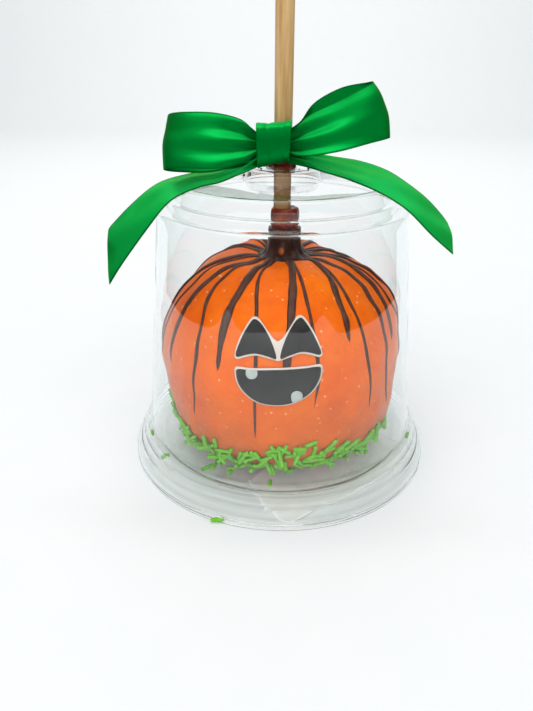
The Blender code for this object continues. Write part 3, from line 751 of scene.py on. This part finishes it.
pack = {
    "wall": 0.35, "steps": 160,
    "lowest": 0.15,  # mm over the table, so that the foot doesn't lie in it
    # outer side of the lid in mm: radius, height
    "dome": ([(4.2, 104.6)] + roundCorner(10.8, 103.4, 1.2, 90, 8)
             + [(12.4, 101.6), (13.3, 100.5), (14.5, 100.4)] + roundCorner(33.4, 98.9, 1.5, 90, 8)
             + [(35.3, 96.3), (35.9, 95.5)] + roundCorner(36.9, 94.1, 1.2, 88, 8)
             + [(38.4, 93.0), (39.2, 92.45)] + roundCorner(40.6, 91.0, 1.4, 88, 5)
             + [(r, 90.9 + (14.6 - 90.9) * (r - 42.0) / 7.6) for r in np.linspace(42.2, 49.55, 8)]
             + [(49.7, 13.9), (50.2, 13.4)] + roundCorner(51.0, 12.0, 0.8, 82, 10)
             + [(52.1, 10.7), (52.3, 10.2), (52.8, 9.9), (53.0, 9.3), (53.3, 7.4), (53.5, 6.9), (54.0, 6.6),
                (54.2, 6.1), (54.5, 4.2), (54.7, 3.5), (55.1, 3.0), (55.6, 2.85), (56.3, 2.8)]),
    # upper side of the tray
    "tray": [
        (0.0, 5.6), (20.0, 5.6), (42.0, 5.6), (43.5, 5.75), (44.8, 6.3), (45.8, 7.4), (46.6, 8.6),
        (47.3, 9.3), (48.0, 9.55), (49.0, 9.6), (49.6, 9.3), (50.0, 8.8), (50.5, 7.0), (50.8, 6.5),
        (51.3, 6.3), (51.6, 5.8), (52.5, 2.8), (52.8, 2.1), (53.4, 1.6), (55.8, 1.6), (56.2, 1.3),
        (56.3, 0.5),
    ],
}


def addTurnedWall(name, outer, material, node):
    # wall turned about Z: the profile, then the profile set back along its normals by the wall's thickness
    outer = np.asarray(outer, float)
    along = unit(np.gradient(outer, axis=0))
    inwards = np.column_stack([along[:, 1], -along[:, 0]])  # of a profile that runs down its outer side
    inner = np.maximum((outer + pack["wall"] * inwards)[::-1], (0.0, pack["lowest"]))
    section = np.vstack([outer, inner])[:, None, :] * mm
    points = turned(fullTurn(pack["steps"]), section[..., 0], section[..., 1])
    addPiece(name, points, material, "clear_plastic", node, closed="rows columns", crisp=38)


addTurnedWall("clearDome", pack["dome"], domePet, "dome")
addTurnedWall("clearTray", pack["tray"], trayPet, "base_tray")
print("clear pack ready")


ribbon = {
    "width": 18.5 * mm, "thickness": 0.25 * mm, "across": 16, "stations": 90,
    # upper edge and lower edge in mm, from the knot outwards
    "leftLoop": [
        ((-4, -7.5, 114.5), (-4, -10.5, 109.8)), ((-8.4, -6.9, 115.4), (-8.2, -11.6, 109.4)),
        ((-13, -7.6, 119.2), (-12.5, -16.0, 107.4)), ((-21, -7.9, 121.2), (-20.4, -19.2, 106.4)),
        ((-30, -6.6, 121.2), (-29.6, -17.6, 106.4)), ((-35.4, -3.2, 120.4), (-35.6, -14.6, 105.8)),
        ((-36.4, 1.6, 118.8), (-37.0, -9.6, 104.4)), ((-32, 4.2, 117.6), (-32.6, -6.6, 103.5)),
        ((-22, 3.2, 117.0), (-22.4, -6.8, 103.7)), ((-12.6, -1.6, 115.0), (-12.4, -8.0, 106.2)),
        ((-4, -5.5, 113.0), (-4, -8.2, 109.0)),
    ],
    "rightLoop": [
        ((-1, -7.5, 115.0), (-1, -10.5, 110.0)), ((2.4, -7.2, 116.4), (2.4, -11.0, 109.6)),
        ((7.4, -7.2, 120.6), (7.0, -15.6, 109.4)), ((15, -6.6, 124.0), (15.4, -18.6, 111.2)),
        ((22.6, -5.6, 127.6), (25.0, -16.8, 113.4)), ((26.8, -2.6, 129.6), (31.6, -12.6, 114.6)),
        ((25.4, 2.4, 129.4), (30.0, -7.6, 114.8)), ((18, 5.0, 127.6), (21.0, -5.8, 113.4)),
        ((9.6, 3.6, 123.2), (11.4, -6.0, 111.8)), ((4.6, -3.9, 118.0), (4.6, -6.9, 110.6)),
        ((-1, -5.6, 114.0), (-1, -8.4, 109.6)),
    ],
    "leftTail": [
        ((-3.6, -5.0, 110.6), (-3.6, -9.4, 109.0)), ((-8.0, -3.4, 108.6), (-7.6, -10.6, 106.8)),
        ((-14, -2.2, 105.6), (-12.6, -14.6, 104.6)), ((-22.2, -1.4, 103.0), (-18.6, -18.9, 102.6)),
        ((-31.0, -2.4, 102.2), (-25.4, -19.9, 101.2)), ((-40.6, -4.4, 99.6), (-33.4, -21.2, 97.4)),
        ((-49.9, -7.1, 92.6), (-41.2, -22.6, 89.2)), ((-56.0, -8.6, 87.0), (-49.0, -23.2, 79.2)),
        ((-57.2, -9.4, 85.0), (-55.0, -22.0, 70.8)),
    ],
    "rightTail": [
        ((-1.8, -5.0, 110.6), (-1.8, -9.4, 109.0)), ((2.8, -3.6, 109.6), (2.8, -10.4, 107.4)),
        ((9.4, -2.4, 108.8), (8.2, -14.2, 106.6)), ((17.0, -0.8, 107.6), (13.8, -18.0, 105.2)),
        ((25.6, -1.6, 106.2), (20.8, -19.1, 103.2)), ((35.2, -3.4, 103.2), (29.1, -20.6, 100.2)),
        ((44.4, -5.1, 97.4), (37.4, -22.0, 95.2)), ((51.4, -6.4, 91.2), (45.4, -23.4, 88.3)),
        ((54.0, -7.6, 88.4), (53.4, -20.6, 81.6)),
    ],
    "crease": 1.5 * mm, "creaseReach": 10 * mm, "crown": 0.3 * mm,
    # how far the middle bows out of the line between the edges at each strip's far end, and which side is out
    "bulge": {"leftLoop": 0.4 * mm, "rightLoop": 1.5 * mm, "leftTail": 0.3 * mm, "rightTail": 0.3 * mm},
    "outSide": {"leftLoop": 1, "rightLoop": -1, "leftTail": 1, "rightTail": -1},
    "knotCentre": (-2.9 * mm, -8.6 * mm, 112.5 * mm), "knotSize": (5.1 * mm, 4.9 * mm, 6.3 * mm),
    "knotPower": 2.6, "knotSteps": 80,
    # the knot's end in shares of its half length and half height: turned in like a cup, with a crisp edge
    "knotEnd": [
        (0.72, 0.0), (0.78, 0.45), (0.86, 0.78), (0.94, 0.90), (1.0, 0.945), (1.005, 0.965), (1.0, 0.985),
        (0.97, 1.0),
    ],
}


def ribbonStrip(name, phase):
    # p(s, v) = upper(s) + v (lower(s) - upper(s)) + n(s, v) (crown sin(pi v) + crease sin(5 pi v + phase)
    # exp(-d / reach)), where d is the distance along the ribbon from the knot and the crown grows with d
    edges = smoothPath([np.concatenate(pair) for pair in ribbon[name]], ribbon["stations"])[:, None, :] * mm
    v = np.linspace(0, 1, ribbon["across"])[None, :]
    upper, lower = edges[..., :3], edges[..., 3:]
    points = upper + (lower - upper) * v[..., None]
    middle = 0.5 * (upper + lower)[:, 0]
    run = np.concatenate([[0], np.cumsum(np.linalg.norm(np.diff(middle, axis=0), axis=1))])[:, None]
    length = run[-1, 0]
    fromKnot = np.minimum(run, length - run) if "Loop" in name else run
    normal = unit(np.cross(np.gradient(points, axis=0), np.gradient(points, axis=1)))
    fold = ribbon["crease"] * np.sin(5 * math.pi * v + phase) * np.exp(-fromKnot / ribbon["creaseReach"])
    fold = fold + 0.12 * mm * np.sin(2.5 * math.pi * v + run * 260 + phase)
    crown = ribbon["crown"] + ribbon["bulge"][name] * (fromKnot / fromKnot.max()) ** 2
    crown = crown * np.sin(math.pi * v) * ribbon["outSide"][name]
    points = points + normal * (fold + crown)[..., None]
    return points, np.stack(np.broadcast_arrays(v, run), -1), length


def knotSurface():
    # band round the gathered middle: a squared ellipse in the (y, z) plane swept along x, with shallow folds
    # that run round it and ends turned in
    a = fullTurn(ribbon["knotSteps"])[None, :]
    half = np.array(ribbon["knotEnd"] + [(x, 1 - 0.05 * (1 - x * x)) for x in np.linspace(0.9, 0.0, 10)])
    v = np.concatenate([-half[:, 0], half[-2::-1, 0]])[:, None]
    pull = np.concatenate([half[:, 1], half[-2::-1, 1]])[:, None]
    (centreX, centreY, centreZ), (halfX, halfY, halfZ) = ribbon["knotCentre"], ribbon["knotSize"]
    power = ribbon["knotPower"]
    folds = 1 + 0.018 * np.sin(8 * v + 1.2 * np.sin(a)) + 0.012 * np.sin(15 * v + 2 * a)
    shape = (np.abs(np.cos(a)) ** power + np.abs(np.sin(a)) ** power) ** (-1 / power) * pull * folds
    x = centreX + halfX * v * (1 + 0.05 * np.sin(a))
    y = centreY + halfY * shape * np.cos(a)
    z = centreZ + halfZ * (1 - 0.06 * v) * shape * np.sin(a) + 0.75 * mm * v
    return np.stack([x, y, z], -1), np.stack(np.broadcast_arrays(0.5 + 0.48 * v, a * 6 * mm), -1)


def makeRibbon():
    lengths = []
    for number, name in enumerate(("leftLoop", "rightLoop", "leftTail", "rightTail")):
        points, uv, length = ribbonStrip(name, 1.3 * number)
        node = "ribbon_bow" if name == "leftLoop" else None
        piece = addPiece(name, points, satin, "satin", node, uv=uv, outward=False)
        # open edges are crisp
        uses = np.zeros(len(piece.data.loops), dtype=np.int32)
        piece.data.loops.foreach_get("edge_index", uses)
        piece.data.edges.foreach_set("use_edge_sharp", np.bincount(uses) == 1)
        wall = piece.modifiers.new("weave", "SOLIDIFY")
        wall.thickness = ribbon["thickness"]
        wall.offset = 0
        lengths.append(length)
    points, uv = knotSurface()
    addPiece("ribbonKnot", points, satin, "satin", closed="columns", uv=uv)
    print("ribbon length in loops and tails:", round(sum(lengths), 4))


makeRibbon()
print("ribbon ready")


sprinkles = {
    "length": 6.2 * mm, "radius": 0.68 * mm, "count": 430, "seed": 11,
    "bandFoot": 10.0, "bandRise": 12.0,  # mm
    # of the length: the straight part and one round end; of the sprinkles: those that stand off the coating
    "straight": 0.82, "cap": 0.11, "standing": 0.25,
    "lowest": 5.7 * mm,  # on the tray
    # loose ones: place in mm, heading in degrees and length over the usual
    "loose": [
        ((-40.9, -25.6, 6.35), 20, 0.45), ((-47.4, -16.6, 10.3), 100, 0.45), ((-19.6, -52.4, 1.1), 5, 0.75),
        ((-2.7, -39.6, 6.35), 88, 0.5), ((-25.0, -31.4, 6.35), 35, 0.8), ((-22.6, -30.0, 6.35), 75, 0.9),
        ((-21.2, -28.4, 6.35), 115, 0.7), ((-16.4, -31.8, 6.35), 10, 0.6), ((-16.9, -34.2, 6.35), 60, 0.4),
        ((1.8, -31.5, 6.35), -12, 0.9), ((4.4, -32.6, 6.35), 25, 0.6), ((47.9, -15.2, 10.3), 70, 0.5),
        ((30.0, 31.0, 6.35), 30, 0.8), ((-34.0, 24.0, 6.35), 130, 0.7), ((8.0, 41.0, 6.35), 75, 0.8),
    ],
}


def capsule(steps=8, rings=3):
    # unit rod along x with round ends: radius sqrt(1 - s^2) over each cap
    cap = np.linspace(0, math.pi / 2, rings + 1)
    x = np.concatenate([-0.5 - sprinkles["cap"] * np.cos(cap), 0.5 + sprinkles["cap"] * np.sin(cap)])[:, None]
    r = np.concatenate([np.sin(cap), np.cos(cap)])[:, None]
    a = fullTurn(steps)
    points = np.stack(np.broadcast_arrays(x, r * np.cos(a), r * np.sin(a)), -1)
    return points.reshape(-1, 3), gridFaces(len(x), steps, "columns")


def makeSprinkles():
    # copies of one rod, each turned into its own frame (along, side, out) and joined by whole-array sums
    rng = np.random.default_rng(sprinkles["seed"])
    count, radius = sprinkles["count"], sprinkles["radius"]
    azimuth = fullTurn(count) + rng.uniform(-0.06, 0.06, count)
    height = (sprinkles["bandFoot"] + sprinkles["bandRise"] * rng.beta(1.5, 1.7, count)
              + 1.2 * np.sin(3 * azimuth + 1) + 0.9 * np.sin(8 * azimuth) - 2.2 * np.sin(azimuth) ** 2) * mm
    polar = polarAtHeight(np.maximum(height, 7.0 * mm))
    centre = appleSurface(polar, azimuth, radius * 0.8)
    out = unit(appleSurface(polar, azimuth, 3 * mm) - appleSurface(polar, azimuth, 0.0))
    level = np.stack([np.cos(azimuth), np.sin(azimuth), 0 * azimuth], -1)
    rise = np.cross(out, level)
    heading = rng.uniform(-math.pi, math.pi, count)[:, None]
    standing = rng.uniform(size=count) < sprinkles["standing"]
    tilt = np.where(standing, rng.uniform(0.3, 0.9, count), rng.uniform(-0.08, 0.15, count))
    along = unit(level * np.cos(heading) + rise * np.sin(heading) + out * tilt[:, None])
    size = rng.uniform(0.6, 1.1, count)
    # a tilted rod is pushed out until its inner end rests on the coating
    centre = centre + out * (0.5 * sprinkles["length"] * size * np.abs((along * out).sum(-1)))[:, None] * 0.8
    places, turns, shares = zip(*sprinkles["loose"])
    turns = np.radians(turns)
    centre = np.vstack([centre, np.array(places) * mm])
    along = np.vstack([along, np.stack([np.cos(turns), np.sin(turns), 0 * turns], -1)])
    out = np.vstack([out, np.tile([0.0, 0.0, 1.0], (len(turns), 1))])
    side = unit(np.cross(out, along))
    normal = np.cross(along, side)
    size = np.concatenate([size, shares])[:, None, None] * sprinkles["length"]
    rod, faces = capsule()
    points = (centre[:, None, :] + along[:, None, :] * (rod[None, :, 0:1] * size * sprinkles["straight"])
              + side[:, None, :] * rod[None, :, 1:2] * radius
              + normal[:, None, :] * rod[None, :, 2:3] * radius)
    lowest = np.concatenate([np.full(count, sprinkles["lowest"]), np.zeros(len(turns))])
    points[..., 2] = np.maximum(points[..., 2], lowest[:, None])
    faces = (faces[None] + (np.arange(len(centre)) * len(rod))[:, None, None]).reshape(-1, 4)
    addPiece("greenSprinkles", points, sprinkleSugar, "sprinkles", faces=faces)


makeSprinkles()

crumbs = {
    # place on the lid's boss in mm, size in mm
    "lumps": [
        ((-11.6, 3.9, 101.3), 0.8), ((-12.8, 3.0, 101.1), 0.5), ((-6.8, -7.9, 104.9), 0.3),
        ((8.2, -6.6, 104.9), 0.35), ((5.2, -9.0, 104.9), 0.22),
    ],
    "rows": 12, "steps": 16, "uneven": 0.25,
    "smearRadius": 3.4 * mm, "smearHeight": 105.2 * mm, "smearSection": 20, "smearSteps": 96,
    "stickSurface": 2.5 * mm,
}


def makeCrumbs():
    # each crumb a ball pushed in and out by waves
    rows, steps = crumbs["rows"], crumbs["steps"]
    polar = np.linspace(0, math.pi, rows)[:, None]
    azimuth = fullTurn(steps)[None, :]
    sine = np.sin(polar)
    ball = np.stack(np.broadcast_arrays(sine * np.cos(azimuth), sine * np.sin(azimuth), np.cos(polar)), -1)
    parts, faces = [], []
    for number, (place, size) in enumerate(crumbs["lumps"]):
        lump = ball * (size * mm * (1 + crumbs["uneven"] * waves(ball, 1.6, number)))[..., None]
        parts.append((np.array(place) * mm + lump).reshape(-1, 3))
        faces.append(gridFaces(rows, steps, "columns") + rows * steps * number)
    addPiece("caramelCrumbs", np.vstack(parts), crumbSugar, "chocolate", faces=np.vstack(faces))


def makeSmear():
    # a low uneven collar round the stick at the lid's hole
    around, turn = fullTurn(crumbs["smearSteps"])[None, :], fullTurn(crumbs["smearSection"])[:, None]
    wide = (1.3 + 0.5 * np.sin(3 * around + 0.4) + 0.35 * np.sin(7 * around)) * mm
    tall = (1.5 + 0.5 * np.sin(2 * around - 0.5) + 0.3 * np.sin(5 * around)) * mm
    radius = np.maximum(crumbs["smearRadius"] + wide * np.cos(turn), crumbs["stickSurface"])
    points = turned(around, radius, crumbs["smearHeight"] + tall * np.sin(turn))
    addPiece("chocolateSmear", points, stemFinish, "chocolate", closed="rows columns")


makeCrumbs()
makeSmear()


slip = {
    # torn outline and centre in mm
    "outline": [
        (3.2, -53.2), (13.0, -46.2), (22.8, -39.6), (34.0, -30.4), (43.0, -21.6), (50.0, -8.0), (34.0, 6.0),
        (-6.0, -24.0), (-10.6, -31.0), (-9.6, -34.6), (-6.6, -40.6), (-4.6, -44.6), (-0.4, -49.6),
        (0.6, -51.2),
    ],
    "centre": (20.0, -25.0), "thickness": 0.12, "curl": 0.9, "fray": 0.12, "lift": 0.05,
    "rows": 20, "perSide": 12,
}


def makeSlip():
    # film from the centre to the outline, lifted by curl (1/2 + sin(x / 9 mm) sin(y / 11 mm) / 2)^2
    outline, centre = np.array(slip["outline"]), np.array(slip["centre"])
    steps = np.linspace(0, 1, slip["perSide"], endpoint=False)[:, None]
    edge = np.vstack([a + (b - a) * steps for a, b in zip(outline, np.roll(outline, -1, 0))])
    edge = edge + slip["fray"] * np.sin(np.arange(len(edge)) * 2.4)[:, None]
    flat = centre + np.linspace(0, 1, slip["rows"])[:, None, None] * (edge - centre)
    swell = 0.5 + 0.5 * np.sin(flat[..., 0] / 9) * np.sin(flat[..., 1] / 11)
    lift = (slip["lift"] + slip["curl"] * swell ** 2)[..., None]
    top = np.concatenate([flat, lift + slip["thickness"]], -1)
    under = np.concatenate([flat, lift], -1)[::-1]
    addPiece("paperSlip", np.concatenate([top, under]) * mm, paper, "paper", "paper_slip", closed="columns")


makeSlip()
print("sprinkles, crumbs and slip ready")
